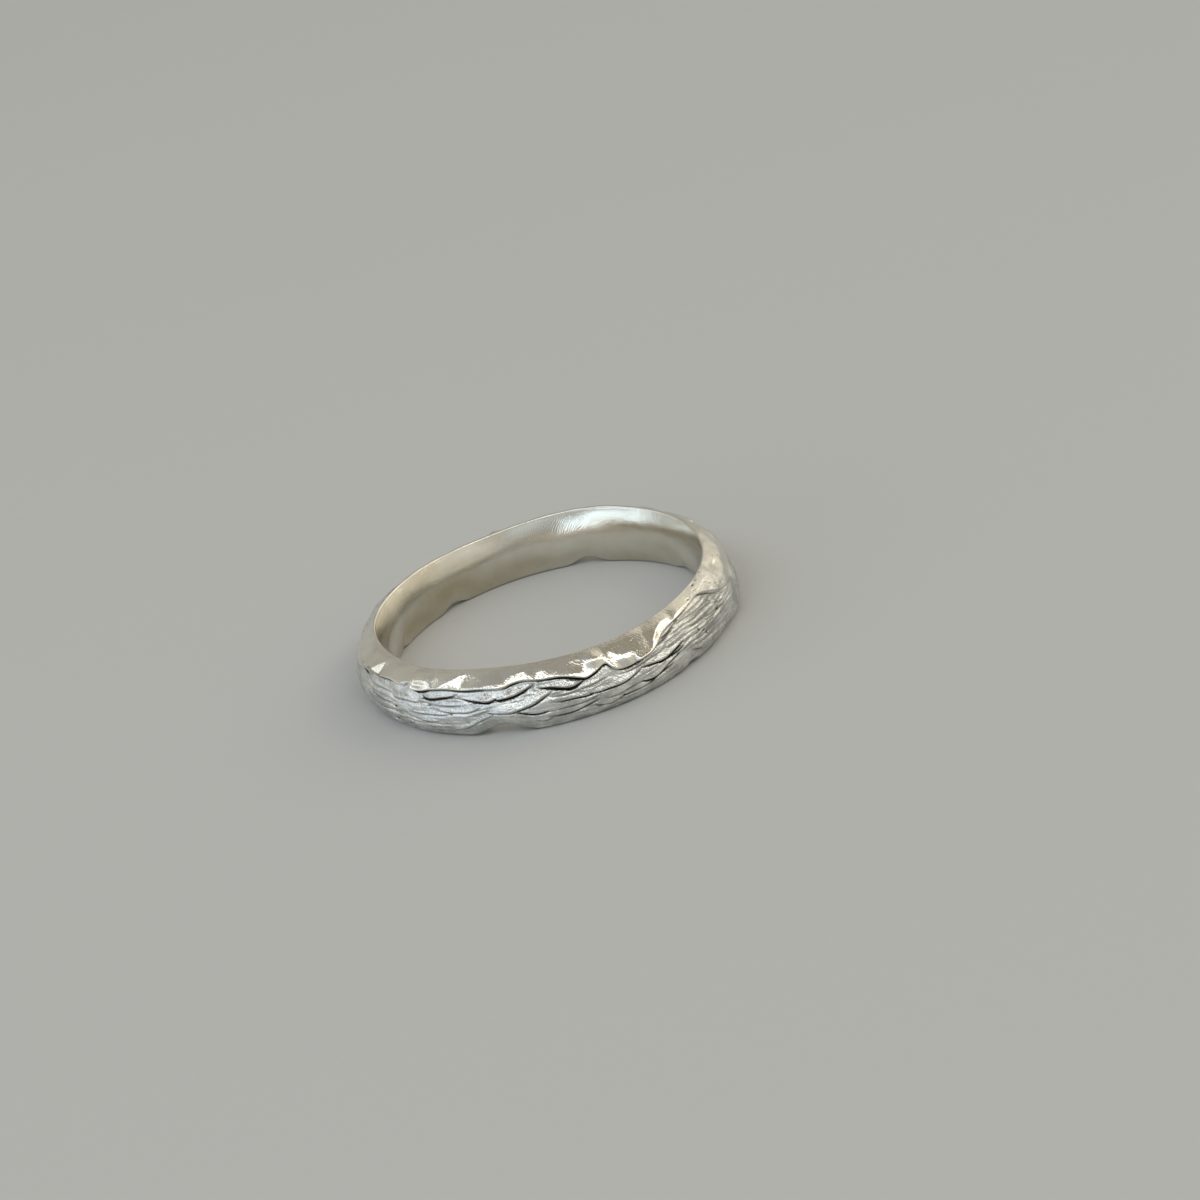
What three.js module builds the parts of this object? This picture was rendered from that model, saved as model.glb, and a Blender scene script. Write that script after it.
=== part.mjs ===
// Stacking ring of cast silver, in millimetres, +Z up, lying on its side on the plane z = 0.
// It is one solid band: a plain wall that bulges to the finger, and outside it a hammered shoulder
// over a relief like bark, whose long strands overlap each other downwards.
//
// turn: the angle round the finger in degrees, 0 at +X and 270 at the front, -Y.
// girth: the way down the outer face, 0 at the upper finger edge and 1 at the rim of the base.

import * as THREE from "three";

// Driving dimensions of the band
const FINGER_RADIUS = 8.27; // finger hole at its narrowest, 16.5 mm across
const COMFORT = 0.38; // how far both finger edges stand back from the narrowest place
const BAND_HEIGHT = 3.27; // along the finger, from the base to the upper edge
const WALL = 1.3; // from the finger edge to the widest line of the face
const WIDEST_HEIGHT = 1.4; // of the widest line over the base
const BASE_WIDTH = 0.74; // flat land that the ring lies on
const EDGE_ROUND = 0.1; // break of the two finger edges
const EDGE_RADIUS = FINGER_RADIUS + COMFORT;

// Heights of the relief
const SHOULDER_LIFT = 0.03; // finger edge of the shoulder over the mean face
const UPPER_TILT = 53; // degrees that the shoulder's upper plane leans up from upright
const LOWER_TILT = 40; // degrees of the steeper plane between its ridge and its brow
const RIDGE_GIRTH = 0.2;
const BROW_GIRTH = 0.32;
const FACET_SLOPE = 0.13; // slope of a facet at its creases
const BARK_MEAN = 0.1; // floor of the bark under the mean face
const CALM_LEVEL = 0.04; // bark between strands, over that floor
const STRAND_SLOPE = 0.36; // steepest slope at which a strand stands out
const STRAND_STEEPEN = 0.85; // growth of that slope with the girth
const GROOVE_DEPTH = 0.07; // of the groove along a strand's lower edge
const GROOVE_WIDTH = 0.12;
const CREVICE_DEPTH = 0.14; // of the groove under the shoulder's lip
const CREVICE_WIDTH = 0.15;
const DENT_DEPTH = 0.12; // deepest dent

// Fullness of the section: 2 would be an ellipse, more is squarer
const CROWN_POWER = 1.4;
const SKIRT_POWER = 3;

// Steps of the mesh: round the finger, and across each stretch of the section
const TURN_STEPS = 184;
const SHOULDER_STEPS = 7;
const BARK_STEPS = 17;
const LAND_STEPS = 1;
const FINGER_STEPS = 5;

// A table: one named column for each value of a row
const table = (columns, rows) =>
  rows.map((row) => Object.fromEntries(columns.map((name, i) => [name, row[i]])));

// The band round the whole turn: its thickness as a share of the wall, how far its upper finger edge
// stands out as a share of the wall, and how high that edge is as a share of the band's height.
const BAND = table(["turn", "thick", "outset", "top"], [
  [0, 1.0, 0.0, 1.0],
  [30, 1.02, 0.0, 1.01],
  [66, 1.0, 0.02, 1.03],
  [104, 1.04, 0.02, 0.945],
  [140, 1.02, 0.05, 0.98],
  [175, 1.1, 0.1, 1.0],
  [197, 1.25, 0.03, 1.0],
  [218, 1.14, 0.0, 0.99],
  [246, 1.04, 0.0, 1.03],
  [270, 1.02, 0.0, 1.0],
  [292, 1.02, 0.0, 0.97],
  [322, 1.0, 0.0, 1.0],
]);

// Scallops in the lower edge, each between two turns, and their rise as a share of the band's height
const SCALLOPS = table(["from", "to", "rise"], [
  [20, 34, 0.06],
  [62, 80, 0.12],
  [116, 131, 0.08],
  [150, 160, 0.05],
  [238, 261, 0.16],
  [308, 318, 0.05],
]);

// From here on the relief is told for the front half, turns 180 to 360; the back half repeats it.

// Lower edge of the shoulder: its girth, and how open the crevice under it is
const CREVICE = table(["turn", "girth", "open"], [
  [180, 0.36, 0.0],
  [189, 0.35, 0.1],
  [195, 0.25, 0.35],
  [200, 0.268, 0.5],
  [205, 0.258, 0.4],
  [210, 0.242, 0.4],
  [215, 0.262, 0.3],
  [217.5, 0.215, 0.5],
  [220, 0.282, 0.8],
  [223.5, 0.292, 1.0],
  [227, 0.264, 0.6],
  [233, 0.25, 0.6],
  [238, 0.266, 0.7],
  [244, 0.28, 0.6],
  [250, 0.306, 0.3],
  [252.5, 0.296, 0.5],
  [255.5, 0.243, 0.7],
  [259, 0.216, 0.5],
  [263, 0.24, 0.6],
  [269, 0.258, 0.8],
  [272, 0.287, 1.1],
  [275.3, 0.338, 1.2],
  [277.2, 0.362, 1.1],
  [280.5, 0.322, 1.1],
  [284, 0.27, 0.9],
  [286, 0.375, 0.4],
  [288.5, 0.413, 0.8],
  [293, 0.405, 0.7],
  [298, 0.38, 0.6],
  [301, 0.33, 0.3],
  [304, 0.262, 0.5],
  [308, 0.217, 0.5],
  [313, 0.205, 0.6],
  [320, 0.172, 0.5],
  [325.5, 0.162, 0.5],
  [329, 0.225, 0.5],
  [334, 0.35, 0.3],
  [340, 0.415, 0.1],
]);

// Hammered facets of the shoulder: where each begins and ends, and its share of the swell
const FACETS = table(["from", "to", "swell"], [
  [183, 197.5, 0.6],
  [197.5, 205, 0.7],
  [205, 217.5, 0.9],
  [217.5, 228, 1.3],
  [228, 239.5, 0.9],
  [239.5, 252, 0.8],
  [252, 262.6, 0.9],
  [262.6, 270.4, 1.0],
  [270.4, 277, 0.9],
  [277, 284.6, 0.9],
  [284.6, 288, 0.8],
  [288, 299.5, 0.9],
  [299.5, 310.6, 1.2],
  [310.6, 321.5, 0.8],
  [321.5, 341, 0.5],
  [341, 358, 0.4],
]);

// Strands of the bark from the lowest row upwards: where each begins and ends round the turn, the
// girth of its middle line at both ends, its half width in girth, how far along it is widest, how
// steeply it stands out, and the groove below it
const STRANDS = table(["from", "to", "start", "end", "half", "peak", "lift", "gape"], [
  [205, 221, 0.86, 0.86, 0.035, 0.5, 0.9, 0.5],
  [219, 237, 0.84, 0.83, 0.035, 0.5, 0.9, 0.5],
  [203, 219, 0.8, 0.79, 0.04, 0.5, 0.95, 0.55],
  [284, 305, 0.775, 0.685, 0.045, 0.4, 1.05, 0.9],
  [277, 287, 0.775, 0.775, 0.055, 0.6, 0.9, 0.9],
  [259.5, 265, 0.77, 0.775, 0.036, 0.6, 1.3, 0.6],
  [311.5, 318.5, 0.72, 0.75, 0.045, 0.6, 0.9, 0.6],
  [220, 231, 0.665, 0.665, 0.045, 0.5, 1.05, 0.55],
  [263, 279.3, 0.755, 0.69, 0.05, 0.6, 0.9, 0.8],
  [232, 249, 0.77, 0.68, 0.055, 0.5, 1.05, 0.55],
  [280, 296, 0.705, 0.66, 0.045, 0.5, 0.95, 0.5],
  [254, 266, 0.66, 0.655, 0.03, 0.5, 0.95, 0.85],
  [196, 218, 0.62, 0.61, 0.04, 0.5, 0.85, 0.55],
  [292.5, 309, 0.69, 0.585, 0.058, 0.4, 1.0, 1.0],
  [262.5, 281, 0.66, 0.635, 0.036, 0.5, 0.95, 0.5],
  [218, 236, 0.565, 0.56, 0.04, 0.5, 0.95, 0.55],
  [264, 280.7, 0.55, 0.555, 0.05, 0.66, 0.9, 0.9],
  [198, 213, 0.5, 0.505, 0.036, 0.5, 0.95, 0.55],
  [228, 246, 0.52, 0.52, 0.044, 0.6, 1.05, 0.55],
  [276.5, 294, 0.565, 0.525, 0.062, 0.45, 1.0, 0.9],
  [299.5, 310, 0.562, 0.56, 0.022, 0.5, 1.2, 0.85],
  [293.5, 310.5, 0.51, 0.5, 0.052, 0.5, 1.0, 1.0],
  [246.5, 266.6, 0.64, 0.425, 0.09, 0.4, 1.15, 1.0],
  [265, 286, 0.475, 0.42, 0.042, 0.5, 1.05, 0.45],
  [225, 244, 0.44, 0.44, 0.03, 0.5, 0.95, 0.55],
  [210.5, 224, 0.42, 0.42, 0.044, 0.5, 1.05, 0.55],
  [284, 304, 0.455, 0.43, 0.032, 0.5, 0.95, 0.45],
  [195, 213, 0.375, 0.375, 0.035, 0.5, 0.95, 0.55],
  [262, 276.6, 0.335, 0.365, 0.072, 0.6, 1.1, 1.2],
  [224, 237, 0.335, 0.32, 0.055, 0.4, 1.0, 1.0],
  [249.4, 262.4, 0.435, 0.265, 0.07, 0.3, 1.1, 1.1],
  [235.5, 250.3, 0.345, 0.425, 0.075, 0.74, 1.1, 1.1],
  [298, 313, 0.36, 0.22, 0.024, 0.5, 1.2, 0.6],
  [302.3, 311, 0.285, 0.225, 0.034, 0.45, 0.9, 0.6],
]);

// Round dents: middle, half length in degrees, half width in girth, share of the depth; the first is a
// boss that stands out of the shoulder
const DENTS = table(["turn", "girth", "length", "width", "depth"], [
  [280.6, 0.165, 2.7, 0.1, -1.3],
  [345, 0.17, 3.0, 0.06, 1.0],
  [352, 0.34, 5.0, 0.09, 0.5],
  [186, 0.5, 6.0, 0.1, 0.5],
  [350, 0.62, 8.0, 0.1, 0.6],
]);

const STRAND_CREST = 0.45; // place of the crest across a strand, from -1 above to 1 below
const LENS_POWER = 0.6; // fullness along a strand, where 1 would be a plain sine
const ROLL_SHARE = 0.6; // how far a strand sinks from its crest to its lower edge
const SLOPE_LIMITS = [-0.3, 0.6]; // of a plane of the shoulder against the mean face
const RISE_STEPS = 300; // places down the face at which a plane's height is summed
const EDGE_LIFT = 0.06; // girth over which the shoulder rises off the finger edge
const EDGE_CALM = 0.12; // girth over which the facets grow from the finger edge
const CALM_FROM = [331, 345]; // turns over which the bark gives way to the smooth end
const CALM_TO = [182, 194]; // turns over which it comes back
const CREVICE_STEP = 0.4; // the bark starts this share of the crevice's width under the lip
const FACE_FADE = 0.84; // girth from which the relief dies out towards the base

const { clamp, lerp, smoothstep } = THREE.MathUtils;
const radians = THREE.MathUtils.degToRad;

// Degrees from one turn forward to another, 0 to 360
const forward = (from, to) => (((to - from) % 360) + 360) % 360;

// Value of a table's column at a turn: a Catmull-Rom curve through its rows, closed after a period
function along(rows, column, period, turn) {
  const count = rows.length;
  const row = (k) => {
    const lap = Math.floor(k / count);
    const { turn: at, [column]: value } = rows[k - lap * count];
    return { at: at + lap * period, value };
  };
  const place = rows[0].turn + (((turn - rows[0].turn) % period) + period) % period;
  let k = count - 1;
  while (rows[k].turn > place) k -= 1;
  const [a, b, c, d] = [k - 1, k, k + 1, k + 2].map(row);
  const span = c.at - b.at;
  const t = (place - b.at) / span;
  const leave = ((c.value - a.value) / (c.at - a.at)) * span;
  const arrive = ((d.value - b.value) / (d.at - b.at)) * span;
  const rise = c.value - b.value;
  return (
    b.value + t * (leave + t * (3 * rise - 2 * leave - arrive + t * (leave + arrive - 2 * rise)))
  );
}

// The mean section of the outer face: x out from the finger edge, y up from the base.
// Both halves are superellipses round the widest line, in polar form; the lower is cut by the base.
const BASE_OUT = (BASE_WIDTH - EDGE_ROUND) / (WALL - EDGE_ROUND);
const BASE_DOWN = (1 - BASE_OUT ** SKIRT_POWER) ** (1 / SKIRT_POWER);

class FaceSection extends THREE.Curve {
  getPoint(t, point = new THREE.Vector2()) {
    const swing = lerp(Math.PI / 2, -Math.atan2(BASE_DOWN, BASE_OUT), t);
    const power = swing > 0 ? CROWN_POWER : SKIRT_POWER;
    const reach = (Math.cos(swing) ** power + Math.abs(Math.sin(swing)) ** power) ** (-1 / power);
    const out = reach * Math.cos(swing);
    const up = reach * Math.sin(swing);
    const y =
      up > 0 ? lerp(WIDEST_HEIGHT, BAND_HEIGHT, up) : WIDEST_HEIGHT * (1 + up / BASE_DOWN);
    return point.set(lerp(EDGE_ROUND, WALL, out), y);
  }
}

const FACE = new FaceSection();
FACE.arcLengthDivisions = 600;
const FACE_LENGTH = FACE.getLength();

// Height of the lower edge over the ground plane: flat lands with scallops between them
function baseHeight(turn) {
  const rises = SCALLOPS.map(({ from, to, rise }) => {
    const t = forward(from, turn) / (to - from);
    return t < 1 ? rise * Math.sin(Math.PI * t) ** 2 : 0;
  });
  return BAND_HEIGHT * Math.max(...rises);
}

// The turn at which the relief of the front half is read
const frontTurn = (turn) => 180 + forward(0, turn) % 180;

const creviceGirth = (turn) => along(CREVICE, "girth", 180, frontTurn(turn));
const creviceOpen = (turn) => Math.max(0, along(CREVICE, "open", 180, frontTurn(turn)));

// Height in mm over the mean face of a plane that leans up by so many degrees all the way down it:
// its slope against that face, summed down the girth
function planeRise(tilt) {
  const rise = [0];
  for (let i = 0; i < RISE_STEPS; i += 1) {
    const way = FACE.getTangentAt((i + 0.5) / RISE_STEPS);
    const slope = Math.tan(clamp(radians(tilt) - Math.atan2(way.x, -way.y), ...SLOPE_LIMITS));
    rise.push(rise[i] + (slope * FACE_LENGTH) / RISE_STEPS);
  }
  return (girth) => {
    const i = Math.min(Math.floor(girth * RISE_STEPS), RISE_STEPS - 1);
    return lerp(rise[i], rise[i + 1], girth * RISE_STEPS - i);
  };
}

const upperRise = planeRise(UPPER_TILT);
const lowerRise = planeRise(LOWER_TILT);

// Smooth shoulder, in mm over the mean face: up the upper plane to the ridge, down the steeper one to
// the brow, then along the mean face; each facet adds a swell t(1 - t) with creases at both sides
function shoulderHeight(turn, girth) {
  const front = frontTurn(turn);
  const ridge = Math.min(girth, RIDGE_GIRTH);
  const brow = clamp(girth, ridge, BROW_GIRTH);
  let height = SHOULDER_LIFT * smoothstep(girth, 0, EDGE_LIFT) + upperRise(ridge);
  height += lowerRise(brow) - lowerRise(ridge);
  for (const { from, to, swell } of FACETS) {
    const t = clamp((front - from) / (to - from), 0, 1);
    const arc = radians(to - from) * (EDGE_RADIUS + WALL);
    height += FACET_SLOPE * swell * arc * t * (1 - t) * smoothstep(girth, 0, EDGE_CALM);
  }
  return height;
}

// Bark, in mm over the mean face. Each strand is a lens in plan. Across, it rises at a steady slope and
// rolls over to its lower edge, where a groove parts it from the strand that it overlaps.
function barkHeight(turn, girth) {
  let level = CALM_LEVEL;
  for (const { from, to, start, end, half, peak, lift, gape } of STRANDS) {
    const t = forward(from, frontTurn(turn)) / (to - from);
    if (t >= 1) continue;
    const taper = Math.sin(Math.PI * t ** (Math.log(0.5) / Math.log(peak))) ** LENS_POWER;
    const width = half * taper;
    const middle = lerp(start, end, smoothstep(t, 0, 1));
    const across = (girth - middle) / (width + 1e-6);
    if (across > -1 && across < 1) {
      const ramp = clamp((across + 1) / (STRAND_CREST + 1), 0, 1);
      const roll = clamp((across - STRAND_CREST) / (1 - STRAND_CREST), 0, 1);
      const slope = lift * Math.min(STRAND_STEEPEN * middle, STRAND_SLOPE);
      const crest = slope * (STRAND_CREST + 1) * width * FACE_LENGTH;
      const own = crest * ramp * (1 - ROLL_SHARE * roll ** 2);
      level = lerp(Math.max(level, own), own, smoothstep(across, -1, STRAND_CREST));
    }
    const below = ((across - 1) * width * FACE_LENGTH) / GROOVE_WIDTH;
    level -= GROOVE_DEPTH * gape * taper * Math.exp(-(below ** 2));
  }
  const under = ((girth - creviceGirth(turn)) * FACE_LENGTH) / CREVICE_WIDTH;
  return level - CREVICE_DEPTH * creviceOpen(turn) * Math.exp(-(under ** 2)) - BARK_MEAN;
}

// Depth of the dents, in mm
function dentDepth(turn, girth) {
  let depth = 0;
  for (const dent of DENTS) {
    const away = (forward(dent.turn, turn + 90) % 180) - 90;
    const reach = (away / dent.length) ** 2 + ((girth - dent.girth) / dent.width) ** 2;
    depth += dent.depth * DENT_DEPTH * Math.exp(-reach);
  }
  return depth;
}

// One place on the outer face; below is true for the bark's side of the shoulder's lower edge
function facePoint(turn, girth, below) {
  const { x, y } = FACE.getPointAt(girth);
  const way = FACE.getTangentAt(girth);
  const front = frontTurn(turn);
  const calm = smoothstep(front, ...CALM_FROM) + 1 - smoothstep(front, ...CALM_TO);
  const shoulder = shoulderHeight(turn, girth);
  const relief = below ? lerp(barkHeight(turn, girth), shoulder, calm) : shoulder;
  const lift = (relief - dentDepth(turn, girth)) * (1 - smoothstep(girth, FACE_FADE, 1));
  const low = baseHeight(turn);
  const high = BAND_HEIGHT * along(BAND, "top", 360, turn);
  const outset = WALL * along(BAND, "outset", 360, turn) * (y / BAND_HEIGHT);
  const radius = EDGE_RADIUS + outset + x * along(BAND, "thick", 360, turn) - way.y * lift;
  const height = low + (y / BAND_HEIGHT) * (high - low) + way.x * lift;
  return [radius, Math.max(low, height)];
}

// The section as a closed row of places: up the finger wall, down the face, in along the base.
// Each place is a function of the turn that gives its radius and height.
const SECTION = [];

for (let i = 0; i <= FINGER_STEPS; i += 1) {
  SECTION.push((turn) => {
    const low = baseHeight(turn) + EDGE_ROUND;
    const high = BAND_HEIGHT * along(BAND, "top", 360, turn) - EDGE_ROUND;
    const outset = WALL * along(BAND, "outset", 360, turn);
    const up = i / FINGER_STEPS;
    const belly = COMFORT * (1 - (2 * up - 1) ** 2);
    return [EDGE_RADIUS + outset * up ** 2 - belly, lerp(low, high, up)];
  });
}
for (let i = 0; i <= SHOULDER_STEPS; i += 1) {
  SECTION.push((turn) => facePoint(turn, (i / SHOULDER_STEPS) * creviceGirth(turn), false));
}
for (let i = 0; i <= BARK_STEPS; i += 1) {
  SECTION.push((turn) => {
    const top = creviceGirth(turn) + (CREVICE_STEP * CREVICE_WIDTH) / FACE_LENGTH;
    return facePoint(turn, lerp(top, 1, i / BARK_STEPS), true);
  });
}
for (let i = 1; i <= LAND_STEPS; i += 1) {
  SECTION.push((turn) => {
    const outer = facePoint(turn, 1, true)[0];
    return [lerp(outer, EDGE_RADIUS + EDGE_ROUND, i / LAND_STEPS), baseHeight(turn)];
  });
}

// A closed surface: the section's places carried round the finger, joined into triangles
function ringGeometry() {
  const places = SECTION.length;
  const positions = [];
  const faces = [];
  for (let i = 0; i < TURN_STEPS; i += 1) {
    const turn = (360 * i) / TURN_STEPS;
    SECTION.forEach((place, j) => {
      const [radius, height] = place(turn);
      const angle = radians(turn);
      positions.push(radius * Math.cos(angle), radius * Math.sin(angle), height);
      const here = i * places + j;
      const under = i * places + ((j + 1) % places);
      const next = ((i + 1) % TURN_STEPS) * places + j;
      const nextUnder = ((i + 1) % TURN_STEPS) * places + ((j + 1) % places);
      faces.push(here, under, nextUnder, here, nextUnder, next);
    });
  }
  const geometry = new THREE.BufferGeometry();
  geometry.setAttribute("position", new THREE.Float32BufferAttribute(positions, 3));
  geometry.setIndex(faces);
  geometry.computeVertexNormals();
  return geometry;
}

const castSilver = new THREE.MeshStandardMaterial({
  color: 0xd9d5c9,
  roughness: 0.22,
  metalness: 1,
});

const ring = new THREE.Group();
const band = new THREE.Mesh(ringGeometry(), castSilver);
band.name = "ring_band";
ring.add(band);

export default ring;
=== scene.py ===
import math

import bpy
import numpy as np
from mathutils import Matrix, Vector


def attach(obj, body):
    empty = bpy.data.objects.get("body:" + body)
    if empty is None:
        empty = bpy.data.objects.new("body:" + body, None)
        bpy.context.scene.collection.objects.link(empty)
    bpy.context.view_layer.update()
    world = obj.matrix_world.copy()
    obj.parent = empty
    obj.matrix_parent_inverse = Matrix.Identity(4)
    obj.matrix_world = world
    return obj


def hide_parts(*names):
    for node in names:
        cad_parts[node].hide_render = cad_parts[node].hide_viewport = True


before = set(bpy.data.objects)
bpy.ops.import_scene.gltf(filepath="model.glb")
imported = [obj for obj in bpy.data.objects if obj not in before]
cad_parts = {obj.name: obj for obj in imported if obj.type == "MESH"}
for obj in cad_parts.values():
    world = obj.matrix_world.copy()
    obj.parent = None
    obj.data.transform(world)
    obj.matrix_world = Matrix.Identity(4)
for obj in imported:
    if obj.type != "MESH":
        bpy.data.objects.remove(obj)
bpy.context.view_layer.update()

# The band and its section.
# The real ring is one casting in sterling silver, poured round a wax model that was carved by hand.
# Its finger wall is polished and bulges inwards for comfort; the face outside bulges to its widest line.

# Lengths are in mm up to the mesh, where MM turns them to metres.
MM = 0.001
FINGER_RADIUS = 8.27
# How far the finger edges stand back from the narrowest place between them.
COMFORT = 0.38
EDGE_RADIUS = FINGER_RADIUS + COMFORT
EDGE_ROUND = 0.1
BAND_HEIGHT = 3.27
# From the finger edge out to the widest line, and that line's height.
WALL = 1.3
WIDEST_HEIGHT = 1.4
BASE_WIDTH = 0.74


def table(columns, *rows):
    """A table given row by row, as one array for each named column."""
    return dict(zip(columns.split(), np.array(rows, float).T))


# turn is the angle round the finger in degrees, 0 at +X and 270 at the front, -Y.
# thick and outset are shares of the wall, top is a share of the band's height.
BAND = table(
    "turn thick outset top",
    (0, 1.0, 0.0, 1.0),
    (30, 1.02, 0.0, 1.01),
    (66, 1.0, 0.02, 1.03),
    (104, 1.04, 0.02, 0.945),
    (140, 1.02, 0.05, 0.98),
    (175, 1.1, 0.1, 1.0),
    (197, 1.25, 0.03, 1.0),
    (218, 1.14, 0.0, 0.99),
    (246, 1.04, 0.0, 1.03),
    (270, 1.02, 0.0, 1.0),
    (292, 1.02, 0.0, 0.97),
    (322, 1.0, 0.0, 1.0),
)

# Scallops in the lower edge, each between two turns; rise is a share of the band's height.
SCALLOPS = table(
    "from to rise",
    (20, 34, 0.06),
    (62, 80, 0.12),
    (116, 131, 0.08),
    (150, 160, 0.05),
    (238, 261, 0.16),
    (308, 318, 0.05),
)


def along(rows, column, period, turn):
    """A table's column at each turn: cubic arcs through the rows, closed after a period.
    Each row's slope is that of the chord between its two neighbours."""
    at = np.concatenate((rows["turn"][-2:] - period, rows["turn"], rows["turn"][:3] + period))
    value = np.concatenate((rows[column][-2:], rows[column], rows[column][:3]))
    place = at[2] + (turn - at[2]) % period
    k = np.searchsorted(at, place, side="right") - 1
    span = at[k + 1] - at[k]
    t = (place - at[k]) / span
    leave = (value[k + 1] - value[k - 1]) / (at[k + 1] - at[k - 1]) * span
    arrive = (value[k + 2] - value[k]) / (at[k + 2] - at[k]) * span
    rise = value[k + 1] - value[k]
    return value[k] + t * (leave + t * (3 * rise - 2 * leave - arrive + t * (leave + arrive - 2 * rise)))


def base_height(turn):
    """Height of the lower edge over the ground: the highest of the scallops, each a sine squared."""
    height = np.zeros_like(turn)
    for start, end, rise in zip(SCALLOPS["from"], SCALLOPS["to"], SCALLOPS["rise"]):
        t = np.clip((turn - start) % 360 / (end - start), 0, 1)
        height = np.maximum(height, BAND_HEIGHT * rise * np.sin(np.pi * t) ** 2)
    return height


# Powers of the two superellipses of the section: fullness above and below the widest line.
CROWN_POWER = 1.4
SKIRT_POWER = 3
SECTION_POINTS = 1201


def face_section():
    """The mean outer face from the finger edge to the base, as arrays against the way down it.
    Two superellipses in polar form meet at the widest line: out and up are reach times the cosine and
    sine of the swing, with reach = (cos^p + sin^p)^(-1/p). The lower one is cut off by the base."""
    base_out = (BASE_WIDTH - EDGE_ROUND) / (WALL - EDGE_ROUND)
    base_down = (1 - base_out**SKIRT_POWER) ** (1 / SKIRT_POWER)
    swing = np.linspace(np.pi / 2, -math.atan2(base_down, base_out), SECTION_POINTS)
    power = np.where(swing > 0, CROWN_POWER, SKIRT_POWER)
    reach = (np.cos(swing) ** power + np.abs(np.sin(swing)) ** power) ** (-1 / power)
    out = reach * np.cos(swing)
    up = reach * np.sin(swing)
    x = EDGE_ROUND + (WALL - EDGE_ROUND) * out
    crown = WIDEST_HEIGHT + (BAND_HEIGHT - WIDEST_HEIGHT) * up
    y = np.where(up > 0, crown, WIDEST_HEIGHT * (1 + up / base_down))
    way = np.concatenate(([0], np.cumsum(np.hypot(np.diff(x), np.diff(y)))))
    return way / way[-1], x, y, np.gradient(x, way), np.gradient(y, way), way[-1]


FACE_GIRTH, FACE_OUT, FACE_UP, FACE_OUT_SLOPE, FACE_UP_SLOPE, FACE_LENGTH = face_section()

# The relief of the face: a smooth shoulder, hammered into facets in the wax, overhangs bark made of long
# strands, each of which overlaps the one below it. girth is the way down the face, 0 at the finger edge
# and 1 at the base. It is told for the front half, turns 180 to 360, and the back half repeats it.


def smooth(value, low, high):
    """0 below low and 1 above high, with an S-shaped rise 3t^2 - 2t^3 between them."""
    t = np.clip((value - low) / (high - low), 0, 1)
    return t * t * (3 - 2 * t)


def waves(turn, girth, laps, across, seed, count=24):
    """Irregular relief of about unit height: a sum of cosines in random phases. Each has an even number
    of waves round the finger and any number down the face, within the two ranges given."""
    rng = np.random.default_rng(seed)
    total = np.zeros(np.broadcast(turn, girth).shape)
    for _ in range(count):
        lap = 2 * rng.integers(laps[0], laps[1] + 1) * rng.choice((-1, 1))
        down = rng.uniform(*across)
        phase = rng.uniform(0, 2 * np.pi)
        total += np.cos(lap * np.radians(turn) + 2 * np.pi * down * girth + phase)
    return total / math.sqrt(count / 2)


# How far the shoulder's planes may lean from the mean face, inwards and outwards, in radians.
PLANE_LIMITS = (-0.3, 0.6)


def plane_rise(tilt):
    """Height in mm of a face that is tilted up by so many degrees all the way down, over the mean face:
    the integral down the mean face of the tangent of the angle between the two."""
    mean_tilt = np.arctan2(FACE_OUT_SLOPE, -FACE_UP_SLOPE)
    slope = np.tan(np.clip(np.radians(tilt) - mean_tilt, *PLANE_LIMITS))
    steps = (slope[1:] + slope[:-1]) / 2 * np.diff(FACE_GIRTH) * FACE_LENGTH
    return np.concatenate(([0], np.cumsum(steps)))


# How many degrees up from level the shoulder's upper plane and the steeper one under it face.
UPPER_TILT = 53
LOWER_TILT = 40
UPPER_RISE = plane_rise(UPPER_TILT)
LOWER_RISE = plane_rise(LOWER_TILT)

# Where each facet of the shoulder turns from its upper plane to the steeper one that ends at the lip.
# Between the rows the ridge is straight, and two rows close together are the end of a facet.
RIDGE = table(
    "turn girth",
    (180, 0.22),
    (198.4, 0.27),
    (199.5, 0.2),
    (203.5, 0.085),
    (205.5, 0.26),
    (218.4, 0.28),
    (219.8, 0.19),
    (222.5, 0.163),
    (226.2, 0.19),
    (227.6, 0.26),
    (230.5, 0.25),
    (238.4, 0.08),
    (239.4, 0.085),
    (239.7, 0.235),
    (245.0, 0.262),
    (251.0, 0.24),
    (254.0, 0.16),
    (257.0, 0.12),
    (259.6, 0.11),
    (260.4, 0.17),
    (262.2, 0.24),
    (263.2, 0.24),
    (263.6, 0.155),
    (265.2, 0.155),
    (266.2, 0.215),
    (270.2, 0.245),
    (270.6, 0.28),
    (276.8, 0.28),
    (278.0, 0.2),
    (284.0, 0.2),
    (284.7, 0.28),
    (285.0, 0.17),
    (286.0, 0.15),
    (287.8, 0.22),
    (288.6, 0.25),
    (291.8, 0.25),
    (292.6, 0.42),
    (299.0, 0.385),
    (300.5, 0.31),
    (304.0, 0.16),
    (307.0, 0.115),
    (309.4, 0.135),
    (310.4, 0.21),
    (311.2, 0.18),
    (314.5, 0.152),
    (320.2, 0.145),
    (320.8, 0.2),
    (330.0, 0.25),
    (340.0, 0.22),
)

# Where that steeper plane ends before the lip.
BROW = table(
    "turn girth",
    (180, 0.3),
    (190, 0.3),
    (198, 0.45),
    (284.0, 0.45),
    (285.0, 0.29),
    (291.8, 0.33),
    (299.0, 0.3),
    (301.0, 0.45),
    (328, 0.45),
    (338, 0.3),
)

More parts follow.
